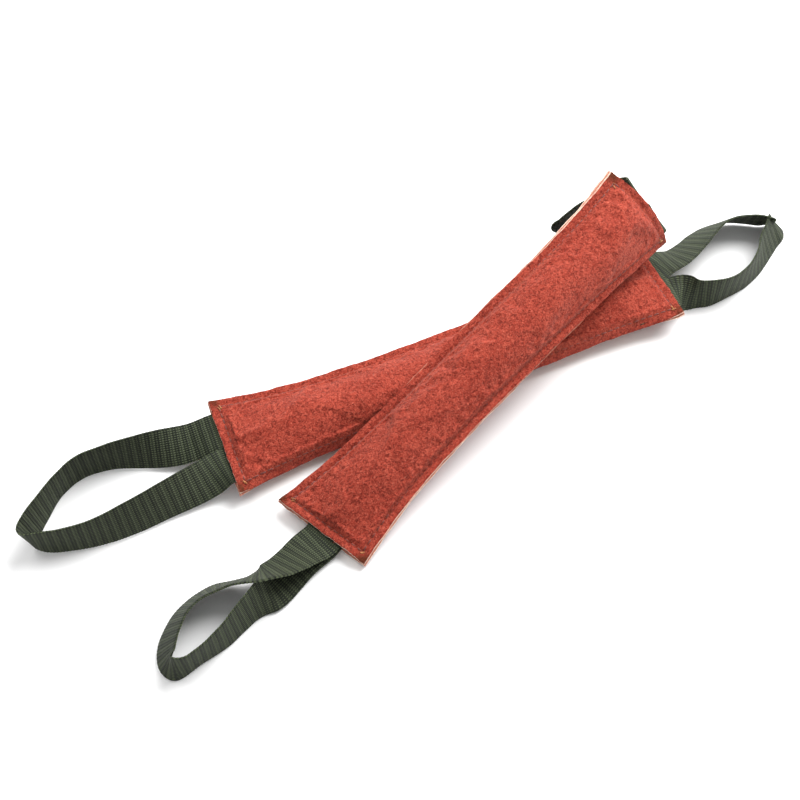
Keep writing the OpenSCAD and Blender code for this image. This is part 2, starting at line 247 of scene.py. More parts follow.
def swell(u, v, inset):
    reach = HALF - SEAM - inset
    width = half_w(u) - SEAM - inset
    lengthwise = np.sqrt(np.clip(1 - np.abs(u / reach) ** 4, 0, None))
    crosswise = np.clip(1 - (v / width) ** 2, 0, None) ** 0.68
    return SWELL * lengthwise * crosswise


def pocket(st_name, u, v):
    """Half the gap that the webbing tails hold open in an end seam"""
    gaps = []
    for end in (-1, 1):
        loop = next(l for l in LOOPS.values() if l["stick"] == st_name and l["end"] == end)
        gaps.append(WEB_T + loop["roots"][2])
    gap = np.where(np.asarray(u) < 0, gaps[0], gaps[1])
    lengthwise = np.clip((np.abs(u) - HALF + TAIL + POCKET_RAMP) / POCKET_RAMP, 0, 1)
    crosswise = np.clip((half_w(u) - SEAM + 1 * MM - np.abs(v)) / (3 * MM), 0, 1)
    return gap / 2 * lengthwise * crosswise


# ---- Materials ---------------------------------------------------------------------------------

class Nodes:
    """A short way to build a node material"""

    def __init__(self, name):
        self.material = bpy.data.materials.new(name)
        self.material.use_nodes = True
        self.tree = self.material.node_tree
        self.shader = self.tree.nodes["Principled BSDF"]

    def add(self, kind, **settings):
        node = self.tree.nodes.new(kind)
        for key, value in settings.items():
            if key in node.inputs:
                node.inputs[key].default_value = value
            else:
                setattr(node, key, value)
        return node

    def link(self, a, b):
        self.tree.links.new(a, b)

    def coords(self, kind="Object"):
        return self.add("ShaderNodeTexCoord").outputs[kind]

    def noise(self, vector, scale, detail=4, roughness=0.55, distortion=0.0):
        node = self.add("ShaderNodeTexNoise", Scale=scale, Detail=detail, Roughness=roughness,
                        Distortion=distortion)
        self.link(vector, node.inputs["Vector"])
        return node.outputs["Fac"]

    def stretch(self, vector, scale):
        node = self.add("ShaderNodeMapping")
        node.inputs["Scale"].default_value = scale
        self.link(vector, node.inputs["Vector"])
        return node.outputs["Vector"]

    def map(self, value, low, high, to_low=0.0, to_high=1.0):
        node = self.add("ShaderNodeMapRange")
        node.inputs["From Min"].default_value = low
        node.inputs["From Max"].default_value = high
        node.inputs["To Min"].default_value = to_low
        node.inputs["To Max"].default_value = to_high
        self.link(value, node.inputs["Value"])
        return node.outputs["Result"]

    def math(self, operation, a, b=0.5):
        node = self.add("ShaderNodeMath", operation=operation)
        for socket, value in zip(node.inputs, (a, b)):
            if isinstance(value, (int, float)):
                socket.default_value = value
            else:
                self.link(value, socket)
        return node.outputs[0]

    def mix(self, factor, a, b, blend="MIX"):
        node = self.add("ShaderNodeMix", data_type="RGBA", blend_type=blend)
        for socket, value in ((node.inputs[0], factor), (node.inputs[6], a), (node.inputs[7], b)):
            if isinstance(value, (int, float)):
                socket.default_value = value
            elif isinstance(value, tuple):
                socket.default_value = (*value, 1)
            else:
                self.link(value, socket)
        return node.outputs[2]

    def bump(self, height, distance, strength=1.0, normal=None):
        node = self.add("ShaderNodeBump", Strength=strength, Distance=distance)
        self.link(height, node.inputs["Height"])
        if normal is not None:
            self.link(normal, node.inputs["Normal"])
        return node.outputs["Normal"]

    def finish(self, color, normal, roughness, **settings):
        self.link(color, self.shader.inputs["Base Color"])
        if normal is not None:
            self.link(normal, self.shader.inputs["Normal"])
        if isinstance(roughness, (int, float)):
            self.shader.inputs["Roughness"].default_value = roughness
        else:
            self.link(roughness, self.shader.inputs["Roughness"])
        for key, value in settings.items():
            self.shader.inputs[key.replace("_", " ")].default_value = value
        return self.material


def suede_material():
    """Napped split leather: nap specks of about a millimetre over soft patches of one to two centimetres"""
    n = Nodes("suede")
    place = n.coords()
    patches = n.noise(place, 62, 3, 0.5, 0.6)
    clouds = n.noise(place, 190, 3, 0.55, 0.5)
    nap = n.noise(place, 560, 5, 0.66, 1.1)
    specks = n.noise(n.stretch(place, (1.0, 1.25, 1.0)), 950, 3, 0.6, 0.5)
    color = n.mix(n.map(patches, 0.36, 0.66), (0.305, 0.038, 0.022), (0.375, 0.054, 0.032))
    color = n.mix(n.map(clouds, 0.40, 0.66, 0, 0.3), color, (0.44, 0.080, 0.050))
    color = n.mix(n.map(nap, 0.40, 0.54, 0.85, 0), color, (0.115, 0.010, 0.006))
    color = n.mix(n.map(nap, 0.56, 0.70, 0, 0.55), color, (0.56, 0.125, 0.075))
    color = n.mix(n.map(specks, 0.56, 0.72, 0, 0.5), color, (0.64, 0.17, 0.11))
    color = n.mix(n.map(specks, 0.30, 0.44, 0.6, 0), color, (0.095, 0.009, 0.006))
    # Painted shade: a mesh attribute darkens the suede at the corners and in the stitch holes, broken up by
    # the clouds noise.
    dye_and_painted_shade = n.add("ShaderNodeAttribute", attribute_name="dye_and_painted_shade").outputs["Fac"]
    painted_shade_mask = n.math("MULTIPLY", dye_and_painted_shade, n.map(clouds, 0.30, 0.55))
    # The painted shade colour.
    color = n.mix(painted_shade_mask, color, (0.085, 0.022, 0.008))
    normal = n.bump(patches, 0.6 * MM, 0.4)
    normal = n.bump(nap, 1.1 * MM, 0.8, normal)
    normal = n.bump(specks, 0.6 * MM, 0.8, normal)
    return n.finish(color, normal, 0.92, Sheen_Weight=0.16, Sheen_Roughness=0.45,
                    Sheen_Tint=(1.0, 0.6, 0.5, 1), Specular_IOR_Level=0.12)


def cut_edge_material():
    """The raw cut edge of the hide: pale, fibrous, stained with dye along both faces"""
    n = Nodes("cut_edge")
    place = n.coords()
    fibre = n.noise(place, 900, 3, 0.6)
    dye_and_painted_shade = n.noise(place, 130, 3, 0.6)
    color = n.mix(n.map(fibre, 0.35, 0.65), (0.58, 0.34, 0.24), (0.88, 0.70, 0.56))
    color = n.mix(n.map(dye_and_painted_shade, 0.52, 0.70, 0, 0.75), color, (0.48, 0.12, 0.08))
    return n.finish(color, n.bump(fibre, 0.4 * MM, 0.8), 0.9, Sheen_Weight=0.1)


def flesh_material():
    """The inner face of the leather"""
    n = Nodes("leather_inner_face")
    grain = n.noise(n.coords(), 500, 4, 0.6)
    color = n.mix(n.map(grain, 0.35, 0.65), (0.36, 0.12, 0.08), (0.52, 0.22, 0.15))
    return n.finish(color, n.bump(grain, 0.4 * MM), 0.95)


def thread_material(name, dark, light):
    """Twisted sewing thread: fine noise flecks for the ply over slower patches of wear"""
    n = Nodes(name)
    wear = n.noise(n.coords(), 300, 3, 0.6)
    ply = n.noise(n.coords(), 2600, 2, 0.5)
    color = n.mix(n.map(wear, 0.35, 0.65), dark, light)
    color = n.mix(n.map(ply, 0.4, 0.6, 0.35, 0), color, (0.05, 0.01, 0.006))
    return n.finish(color, n.bump(ply, 0.15 * MM), 0.6, Sheen_Weight=0.2)


def fill_material():
    """Packed fibre stuffing"""
    n = Nodes("stuffing_fibre")
    tuft = n.noise(n.coords(), 240, 5, 0.65)
    color = n.mix(n.map(tuft, 0.3, 0.7), (0.46, 0.37, 0.26), (0.78, 0.70, 0.56))
    return n.finish(color, n.bump(tuft, 1.5 * MM), 0.95, Sheen_Weight=0.3)


WARP_PITCH = 1.4 * MM
PICK_PITCH = 1.9 * MM
BAND_PITCH = 3 * PICK_PITCH


def webbing_material():
    """Coarse basket-woven webbing, with painted highlight on the yarn crowns and along each pick and
    painted shade in the holes between the yarns. The UV map is in metres: U across the webbing, V along it.
    """
    n = Nodes("webbing")
    split = n.add("ShaderNodeSeparateXYZ")
    n.link(n.coords("UV"), split.inputs[0])
    wobble = n.map(n.noise(n.coords(), 260, 2, 0.5), 0, 1, -0.5, 0.5)
    across = n.math("MULTIPLY", split.outputs[0], math.pi / WARP_PITCH)
    along = n.math("ADD", n.math("MULTIPLY", split.outputs[1], math.pi / PICK_PITCH), wobble)
    band = n.math("ADD", n.math("MULTIPLY", split.outputs[1], 2 * math.pi / BAND_PITCH), wobble)
    cells = n.math("ABSOLUTE", n.math("MULTIPLY", n.math("SINE", across), n.math("SINE", along)))
    rib = n.math("ABSOLUTE", n.math("COSINE", along))
    ridge = n.math("SINE", band)
    fibre = n.noise(n.stretch(n.coords("UV"), (2.2, 1.0, 1.0)), 1500, 3, 0.65)
    tone = n.noise(n.coords(), 60, 3, 0.5)
    # Near-black ground: painted shade in the holes between the yarns.
    color = n.mix(n.map(tone, 0.35, 0.65), (0.005, 0.007, 0.005), (0.010, 0.013, 0.008))
    # Painted highlight on the yarn crown of each weave cell.
    color = n.mix(n.map(cells, 0.36, 0.85), color, (0.068, 0.084, 0.043))
    # Painted highlight line across the webbing at each pick.
    color = n.mix(n.map(rib, 0.80, 1.0, 0, 0.3), color, (0.040, 0.050, 0.028))
    color = n.mix(n.map(ridge, 0.60, 1.0, 0, 0.35), color, (0.078, 0.094, 0.054))
    color = n.mix(n.map(ridge, -0.4, -1.0, 0, 0.4), color, (0.004, 0.006, 0.005))
    color = n.mix(n.map(fibre, 0.56, 0.75, 0, 0.3), color, (0.12, 0.14, 0.085))
    ribbing = n.math("ADD", n.math("MULTIPLY", rib, 0.3), n.math("MULTIPLY", ridge, 0.3))
    height = n.math("ADD", ribbing, cells)
    normal = n.bump(height, 0.45 * MM, 0.9)
    normal = n.bump(fibre, 0.12 * MM, 0.6, normal)
    return n.finish(color, normal, 0.65, Sheen_Weight=0.0, Specular_IOR_Level=0.18)


SUEDE = suede_material()
CUT_EDGE = cut_edge_material()
FLESH = flesh_material()
SEAM_THREAD = thread_material("seam_thread", (0.12, 0.016, 0.010), (0.22, 0.035, 0.018))
KNOT_THREAD = thread_material("knot_thread", (0.30, 0.08, 0.02), (0.55, 0.20, 0.05))
FILL = fill_material()
WEBBING = webbing_material()


# ---- Stuffing: a cloth-simulated pillow in the stick's own grid --------------------------------

CORE_ROWS = 90
CORE_COLUMNS = 20
CORE_CAP = 1.6 * MM
CORE_END_INSET = 3 * MM
CORE_SIDE_INSET = 0.5 * MM
CORE_GAP = 0.1 * MM
CLOTH_FRAMES = 20


def core_grid():
    rows = -np.cos(np.linspace(0, math.pi, CORE_ROWS + 1))
    columns = -np.cos(np.linspace(0, math.pi, CORE_COLUMNS + 1))
    return np.meshgrid(rows, columns, indexing="ij")


def core_reach():
    return HALF - SEAM - CORE_END_INSET


def core_half_width(u):
    return half_w(u) - SEAM - SWELL_EDGE - CORE_SIDE_INSET


def core_points(st, side, shrink):
    s, t = core_grid()
    u = s * core_reach()
    v = t * core_half_width(u)
    h = np.maximum(CORE_GAP, swell(u, v, SWELL_EDGE) - CORE_GAP) * shrink
    return at(st, u, v, side * h)


def grid_faces(rows, columns, start=0, flip=False):
    i, j = np.meshgrid(np.arange(rows), np.arange(columns), indexing="ij")
    a = start + i * (columns + 1) + j
    quads = np.stack([a, a + 1, a + columns + 2, a + columns + 1], -1).reshape(-1, 4)
    return quads[:, ::-1] if flip else quads


def border_faces(rows, columns, top, bottom):
    """Walls between the borders of two grids whose first vertices are top and bottom"""
    loop = [(0, j) for j in range(columns)] + [(i, columns) for i in range(rows)]
    loop += [(rows, j) for j in range(columns, 0, -1)] + [(i, 0) for i in range(rows, 0, -1)]
    ids = [i * (columns + 1) + j for i, j in loop]
    faces = []
    for a, b in zip(ids, ids[1:] + ids[:1]):
        faces.append((top + b, top + a, bottom + a, bottom + b))
    return faces


def simulate(obj, pins, seed):
    """Blows the pillow up from inside with its seam pinned"""
    group = obj.vertex_groups.new(name="seam")
    group.add([int(i) for i in pins], 1.0, "REPLACE")
    cloth = obj.modifiers.new("cloth", "CLOTH")
    settings = cloth.settings
    settings.quality = 5
    settings.mass = 0.4
    settings.use_pressure = True
    settings.uniform_pressure_force = 4
    settings.tension_stiffness = 25
    settings.compression_stiffness = 25
    settings.shear_stiffness = 10
    settings.bending_stiffness = 1.5
    settings.shrink_min = -0.03
    settings.vertex_group_mass = "seam"
    settings.effector_weights.gravity = 0
    cloth.point_cache.frame_start = 1
    cloth.point_cache.frame_end = CLOTH_FRAMES
    for step in range(1, CLOTH_FRAMES + 1):
        bpy.context.scene.frame_set(step)
    depsgraph = bpy.context.evaluated_depsgraph_get()
    blown = obj.evaluated_get(depsgraph).to_mesh()
    moved = np.empty(len(blown.vertices) * 3)
    blown.vertices.foreach_get("co", moved)
    obj.evaluated_get(depsgraph).to_mesh_clear()
    obj.modifiers.remove(cloth)
    bpy.context.scene.frame_set(1)
    return moved.reshape(-1, 3)


def stuffing(name, st):
    """The stuffing piece, and how far it has pushed the leather at each point of its grid"""
    shape = (CORE_ROWS + 1, CORE_COLUMNS + 1)
    start = [core_points(st, side, 0.98).reshape(-1, 3) for side in (1, -1)]
    full = [core_points(st, side, 1.0).reshape(-1, 3) for side in (1, -1)]
    count = len(start[0])
    faces = [tuple(f) for f in grid_faces(CORE_ROWS, CORE_COLUMNS, 0, True)]
    faces += [tuple(f) for f in grid_faces(CORE_ROWS, CORE_COLUMNS, count)]
    faces += border_faces(CORE_ROWS, CORE_COLUMNS, 0, count)
    vertices = np.concatenate(start)
    obj = new_object(name + "_stuffing_fill", vertices, faces, [FILL])
    s, t = core_grid()
    edge = (np.abs(s) > 0.999) | (np.abs(t) > 0.999)
    pins = np.flatnonzero(np.concatenate([edge.ravel(), edge.ravel()]))
    goal = np.concatenate(full)
    push = np.zeros_like(goal)
    moved = simulate(obj, pins, st["seed"])
    push = moved - goal
    size = np.linalg.norm(push, axis=1, keepdims=True)
    push = push * np.minimum(1, CORE_CAP / np.maximum(size, 1e-9))
    final = goal + push
    if name == "lower":
        final[:, 2] = np.maximum(final[:, 2], LEATHER + 0.2 * MM)
    obj.data.vertices.foreach_set("co", final.ravel())
    obj.data.update()
    fields = [push[:count].reshape(*shape, 3), push[count:].reshape(*shape, 3)]
    return obj, fields


def sample_push(field, u, v):
    """The simulated push at u, v, read from the pillow's grid"""
    s = np.clip(u / core_reach(), -1, 1)
    t = np.clip(v / core_half_width(u), -1, 1)
    i = np.arccos(-s) / math.pi * CORE_ROWS
    j = np.arccos(-t) / math.pi * CORE_COLUMNS
    i0 = np.clip(i.astype(int), 0, CORE_ROWS - 1)
    j0 = np.clip(j.astype(int), 0, CORE_COLUMNS - 1)
    fi = (i - i0)[..., None]
    fj = (j - j0)[..., None]
    return (
        field[i0, j0] * (1 - fi) * (1 - fj) + field[i0 + 1, j0] * fi * (1 - fj)
        + field[i0, j0 + 1] * (1 - fi) * fj + field[i0 + 1, j0 + 1] * fi * fj
    )


# ---- Leather panels ----------------------------------------------------------------------------

PANEL_ROWS = 300
PANEL_COLUMNS = 76


def panel_grid():
    """Rows along the stick and columns across it, closer together near the seams"""
    s = np.linspace(-1, 1, PANEL_ROWS + 1)
    s = s * 0.86 + 0.14 * np.sin(s * math.pi / 2)
    t = np.linspace(-1, 1, PANEL_COLUMNS + 1)
    t = 0.7 * t + 0.3 * np.sin(t * math.pi / 2)
    return np.meshgrid(s, t, indexing="ij")


def seam_distance(u, v):
    """Distance in from the nearest cut edge"""
    side = half_w(u) - np.abs(v)
    end = HALF - np.abs(u)
    return np.minimum(side, end)


def along_seam(u, v):
    """A running coordinate along whichever edge is nearer"""
    side = half_w(u) - np.abs(v)
    end = HALF - np.abs(u)
    return np.where(side < end, u + np.sign(v) * 0.41, v + np.sign(u) * 0.73)


def panel_seed(st, side):
    return st["seed"] * 10 + (0 if side > 0 else 5)


def panel_label(side):
    return "top" if side > 0 else "bottom"


def hole_wave(u, v):
    """1 at the stitch holes and 0 halfway between them"""
    return 0.5 - 0.5 * np.cos(2 * math.pi * along_seam(u, v) / PITCH)


def edge_lip(u, v, seed):
    """How far the leather outside the seam stands up"""
    flare = 0.35 + 0.45 * wave_noise(along_seam(u, v), seed + 9, 38 * MM)
    return ramp(SEAM - seam_distance(u, v), 0, SEAM) * flare * MM


def outer_height(name, st, u, v, seed):
    """Height of a panel's outer face above the middle surface, with the details of the sewn leather"""
    base = LEATHER + np.maximum(pocket(name, u, v), swell(u, v, 0))
    inward = seam_distance(u, v)
    running = along_seam(u, v)
    stuffed = ramp(swell(u, v, 0), 0.5 * MM, 6 * MM)
    depth = lerp(st["groove"][0], st["groove"][1], ramp(u / HALF, -0.3, 0.6))
    groove = np.exp(-((inward - SEAM) / (0.95 * MM)) ** 2) * (0.6 + 0.5 * hole_wave(u, v)) * depth * MM
    pull = np.exp(-((inward - SEAM - 3.5 * MM) / (4.5 * MM)) ** 2) * ramp(inward, 4.5 * MM, 7 * MM)
    pucker = pull * wave_noise(running, seed + 5, 17 * MM) * depth * 0.42 * MM
    dents = stuffed * (
        noise_2d(u, v, seed + 1, 55 * MM) * 0.38 + noise_2d(u, v, seed + 2, 19 * MM) * 0.16
    ) * MM
    nap = noise_2d(u, v, seed + 3, 3.1 * MM, 14) * 0.045 * MM
    wear = np.exp(-(inward / (0.7 * MM)) ** 2) * 0.35 * MM
    return base - groove + pucker + edge_lip(u, v, seed) + dents - stuffed * 0.35 * MM + nap - wear


def inner_height(name, u, v, seed):
    """Height of a panel's inner face above the middle surface"""
    hollow = np.maximum(pocket(name, u, v), swell(u, v, SWELL_EDGE))
    return hollow + np.maximum(edge_lip(u, v, seed), 0) * 0.9


TRIM_MARGIN = 10 * MM
BOW_REACH = 12 * MM


def trimmed(u, v, seed, proud, bow):
    """Moves the cut edges in or out, as hand-cut edges wander; proud is how far the panel stands out"""
    near_side = ramp(TRIM_MARGIN - (half_w(u) - np.abs(v)), 0, TRIM_MARGIN)
    near_end = ramp(TRIM_MARGIN - (HALF - np.abs(u)), 0, TRIM_MARGIN)
    side_wander = wave_noise(u + np.sign(v) * 0.37, seed + 21, 60 * MM) * 0.35
    side_fray = wave_noise(u + np.sign(v) * 0.61, seed + 22, 5 * MM, 8) * 0.14
    end_wander = wave_noise(v + np.sign(u) * 0.29, seed + 23, 24 * MM) * 0.35
    end_fray = wave_noise(v + np.sign(u) * 0.53, seed + 24, 5 * MM, 8) * 0.16
    new_v = v + np.sign(v) * near_side * (side_wander + side_fray + proud) * MM
    far_bow = bow * ramp(u, HALF - BOW_REACH, HALF) * (1 - (v / half_w(u)) ** 2)
    new_u = u + np.sign(u) * near_end * (end_wander + end_fray + proud) * MM + far_bow
    return new_u, new_v


def panel(name, st, side, field, proud):
    """One leather panel as a closed sheet: suede outside, raw cut edge, inner face"""
    seed = panel_seed(st, side)
    s, t = panel_grid()
    u = s * HALF
    v = t * half_w(u)
    push = sample_push(field, u, v)
    new_u, new_v = trimmed(u, v, seed, proud, st["bow"] if side > 0 else 0)
    outer = at(st, new_u, new_v, side * outer_height(name, st, u, v, seed)) + push
    inner = at(st, new_u, new_v, side * inner_height(name, u, v, seed)) + push
    if name == "lower":
        outer[..., 2] = np.maximum(outer[..., 2], FLOOR_GAP)
        inner[..., 2] = np.maximum(inner[..., 2], LEATHER)
    count = (PANEL_ROWS + 1) * (PANEL_COLUMNS + 1)
    vertices = np.concatenate([outer.reshape(-1, 3), inner.reshape(-1, 3)])
    outer_faces = grid_faces(PANEL_ROWS, PANEL_COLUMNS, 0, side > 0)
    inner_faces = grid_faces(PANEL_ROWS, PANEL_COLUMNS, count, side < 0)
    walls = border_faces(PANEL_ROWS, PANEL_COLUMNS, 0, count)
    if side < 0:
        walls = [f[::-1] for f in walls]
    faces = [tuple(f) for f in outer_faces] + [tuple(f) for f in inner_faces] + walls
    kinds = [0] * len(outer_faces) + [2] * len(inner_faces) + [1] * len(walls)
    leather = [SUEDE, CUT_EDGE, FLESH]
    obj = new_object(f"{name}_{panel_label(side)}_leather", vertices, faces, leather, kinds)
    mark_sharp_walls(obj)
    # Painted shade amount at the corners and in the stitch holes, kept on the mesh for the suede material.
    dye_and_painted_shade = obj.data.attributes.new("dye_and_painted_shade", "FLOAT", "POINT")
    dye_and_painted_shade.data.foreach_set("value", np.tile(painted_shade_amount(u, v, seed).ravel(), 2).astype(np.float32))
    return obj


def painted_shade_amount(u, v, seed):
    """Painted shade: how much the suede is darkened at the back-tacked corners and in the stitch holes"""
    corner = np.hypot(HALF - np.abs(u), (half_w(u) - np.abs(v)))
    line = np.exp(-((seam_distance(u, v) - SEAM) / (0.9 * MM)) ** 2) * hole_wave(u, v)
    patchy = 0.5 + 0.5 * wave_noise(along_seam(u, v), seed + 40, 30 * MM)
    return np.clip(0.9 * (1 - ramp(corner, 3 * MM, 9 * MM)) + 0.75 * line * patchy, 0, 1)


def mark_sharp_walls(obj):
    """Keeps the cut edge's corners crisp while the faces stay smooth"""
    mesh = obj.data
    kinds = {}
    for polygon in mesh.polygons:
        for key in polygon.edge_keys:
            kinds.setdefault(key, set()).add(polygon.material_index)
    sharp = mesh.attributes.new("sharp_edge", "BOOLEAN", "EDGE")
    flags = [len(kinds[tuple(sorted(e.vertices))]) > 1 for e in mesh.edges]
    sharp.data.foreach_set("value", flags)


# ---- Stitches ----------------------------------------------------------------------------------

STITCH_SEGMENTS = 6
STITCH_SIDES = 6
STITCH_SPAN = (0.12, 0.88)
KNOTS_PER_CORNER = 2
KNOT_SEED = 31


def seam_stops():
    """Stitch positions round the seam, as (u, v) of their ends"""
    reach = HALF - SEAM
    count = round(2 * reach / PITCH)
    stops = []
    for row in (-1, 1):
        for i in range(count):
            u = [lerp(-reach, reach, (i + k) / count) for k in STITCH_SPAN]
            stops.append([(x, row * float(half_w(np.array(x)) - SEAM)) for x in u])
    end_half = float(half_w(np.array(reach)) - SEAM)
    count = round(2 * end_half / PITCH)
    for row in (-1, 1):
        for j in range(count):
            v = [lerp(-end_half, end_half, (j + k) / count) for k in STITCH_SPAN]
            stops.append([(row * reach, y) for y in v])
    return stops


def knot_stops():
    """Back-tacked stitches at the corners: short ones laid over each other"""
    rng = random.Random(KNOT_SEED)
    reach = HALF - SEAM
    end_half = float(half_w(np.array(reach)) - SEAM)
    stops = []
    for row in (-1, 1):
        for side in (-1, 1):
            for _ in range(KNOTS_PER_CORNER):
                u = row * (reach - rng.uniform(-0.6, 2.2) * MM)
                v = side * (end_half - rng.uniform(-0.6, 2.2) * MM)
                du = rng.uniform(-1.6, 1.6) * MM
                dv = rng.uniform(-1.6, 1.6) * MM
                stops.append([(u - du, v - dv), (u + du, v + dv)])
    return stops


def thread(name, st, side, field, label):
    """All the stitches of one face, each an arched bit of thread between two holes"""
    vertices = []
    faces = []
    kinds = []
    groups = [(stop, 0) for stop in seam_stops()] + [(stop, 1) for stop in knot_stops()]
    seed = panel_seed(st, side)
    for (a, b), kind in groups:
        k = np.linspace(0, 1, STITCH_SEGMENTS + 1)
        u = lerp(a[0], b[0], k)
        v = lerp(a[1], b[1], k)
        arch = np.sin(k * math.pi) ** 0.5
        h = outer_height(name, st, u, v, seed) + (arch * 0.38 - 0.36 + kind * 0.4) * MM
        line = at(st, u, v, side * h) + sample_push(field, u, v)
        if name == "lower":
            line[:, 2] = np.maximum(line[:, 2], THREAD)
        tangent = unit(np.gradient(line, axis=0))
        normal = stick_axes(st, u)[2] * side
        across = unit(np.cross(tangent, normal))
        start = len(vertices)
        for ring in range(STITCH_SEGMENTS + 1):
            for q in range(STITCH_SIDES):
                angle = 2 * math.pi * q / STITCH_SIDES
                offset = across[ring] * math.cos(angle) + normal[ring] * math.sin(angle)
                vertices.append(line[ring] + offset * THREAD / 2)
        for ring in range(STITCH_SEGMENTS):
            for q in range(STITCH_SIDES):
                low = start + ring * STITCH_SIDES
                faces.append((low + q, low + (q + 1) % STITCH_SIDES,
                              low + STITCH_SIDES + (q + 1) % STITCH_SIDES, low + STITCH_SIDES + q))
                kinds.append(kind)
        faces.append(tuple(start + q for q in reversed(range(STITCH_SIDES))))
        last = start + STITCH_SEGMENTS * STITCH_SIDES
        faces.append(tuple(last + q for q in range(STITCH_SIDES)))
        kinds += [kind, kind]
    return new_object(f"{name}_{label}", vertices, faces, [SEAM_THREAD, KNOT_THREAD], kinds)


# ---- Loose fibres ------------------------------------------------------------------------------

FIBRES_PER_PANEL = 900


def fibres(name, st, side, field):
    """Short loose nap fibres along the cut edges and over the suede"""
    rng = random.Random(st["seed"] * 7 + side)
    seed = panel_seed(st, side)
    vertices = []
    faces = []
    for index in range(FIBRES_PER_PANEL):
        at_edge = index % 3 != 0
        s = rng.uniform(-1, 1)
        u = s * HALF
        width = float(half_w(np.array(u)))
        if at_edge:
            v = rng.choice((-1, 1)) * (width - rng.uniform(0.1, 1.2) * MM)
        else:
            v = rng.uniform(-0.97, 0.97) * width
        if index % 7 == 0:
            u = rng.choice((-1, 1)) * (HALF - rng.uniform(0.1, 0.8) * MM)
            v = rng.uniform(-1, 1) * END_W / 2
        point = np.array([u]), np.array([v])
        h = outer_height(name, st, *point, seed)
        root = (at(st, *point, side * h) + sample_push(field, *point))[0]
        run, across, normal = stick_axes(st, point[0])
        outward = across[0] * math.copysign(1, v) if at_edge else across[0] * rng.uniform(-1, 1)
        lift = normal[0] * side * rng.uniform(0.1, 0.9)
        heading = unit(outward * rng.uniform(0.3, 1) + run * rng.uniform(-1, 1) + lift)
        length = rng.uniform(0.4, 1.3) * MM if rng.random() < 0.96 else rng.uniform(1.8, 3.2) * MM
        curl = unit(np.cross(heading, [rng.random(), rng.random(), rng.random()])) * length * 0.3
        thick = unit(np.cross(heading, curl)) * rng.uniform(0.05, 0.09) * MM
        points = [root - heading * 0.2 * MM, root + heading * length * 0.5 + curl, root + heading * length]
        if name == "lower" and min(p[2] for p in points) < 0.2 * MM:
            continue
        start = len(vertices)
        vertices += [points[0] - thick, points[0] + thick, points[1] - thick * 0.8, points[1] + thick * 0.8,
                     points[2]]
        faces += [(start, start + 1, start + 3, start + 2), (start + 2, start + 3, start + 4)]
    return new_object(f"{name}_{panel_label(side)}_fibres", vertices, faces, [SUEDE])


# ---- Webbing straps ----------------------------------------------------------------------------

WEB_STEP = 0.6 * MM
WEB_CELLS = 26
SOFTEN_PASSES = 6
SELVEDGE = 0.9


def root_clearance(roots):
    return ROOT_GAP + (WEB_T + roots[2]) / 2


def strand_height(roots, k):
    """Height of strand k in the seam; stacked strands lie one above the other"""
    return roots[2] * (0.5 - k)


def strand_point(st, end, roots, k):
    return at(st, end * HALF, roots[k], strand_height(roots, k))


def end_frame(st, end, roots):
    """Middle of the hinge line, line to the left, outward and up of an end seam"""
    width = float(half_w(np.array(HALF)))
    left = at(st, end * HALF, width, 0)
    right = at(st, end * HALF, -width, 0)
    line = unit(left - right)
    run = stick_axes(st, end * HALF)[0] * end
    out = unit(run - line * np.dot(run, line))
    up = unit(np.cross(out, line)) * end
    middle = (strand_point(st, end, roots, 0) + strand_point(st, end, roots, 1)) / 2
    return middle + out * root_clearance(roots), line, out, up


def smooth_path(points, tilts, per_step=16):
    """The CAD's smooth curve through a loop's route"""
    data = np.concatenate([points, np.asarray(tilts, float)[:, None]], 1)
    steps = np.linalg.norm(np.diff(points, axis=0), axis=1)
    secants = np.diff(data, axis=0) / steps[:, None]
    slopes = np.concatenate([secants[:1], (secants[:-1] + secants[1:]) / 2, secants[-1:]])
    rows = []
    for i in range(len(steps)):
        for r in range(per_step):
            t = r / per_step
            a = data[i] * (2 * t ** 3 - 3 * t ** 2 + 1) + slopes[i] * steps[i] * (t ** 3 - 2 * t ** 2 + t)
            b = data[i + 1] * (3 * t ** 2 - 2 * t ** 3) + slopes[i + 1] * steps[i] * (t ** 3 - t ** 2)
            rows.append(a + b)
    rows.append(data[-1])
    return np.array(rows)


def even_spacing(rows, step):
    lengths = np.concatenate([[0], np.cumsum(np.linalg.norm(np.diff(rows[:, :3], axis=0), axis=1))])
    count = max(2, int(round(lengths[-1] / step)))
    places = np.linspace(0, lengths[-1], count + 1)
    return np.stack([np.interp(places, lengths, rows[:, k]) for k in range(rows.shape[1])], 1)


def soften(rows, passes):
    rows = rows.copy()
    for _ in range(passes):
        rows[1:-1] = rows[1:-1] * 0.5 + (rows[:-2] + rows[2:]) * 0.25
    return rows


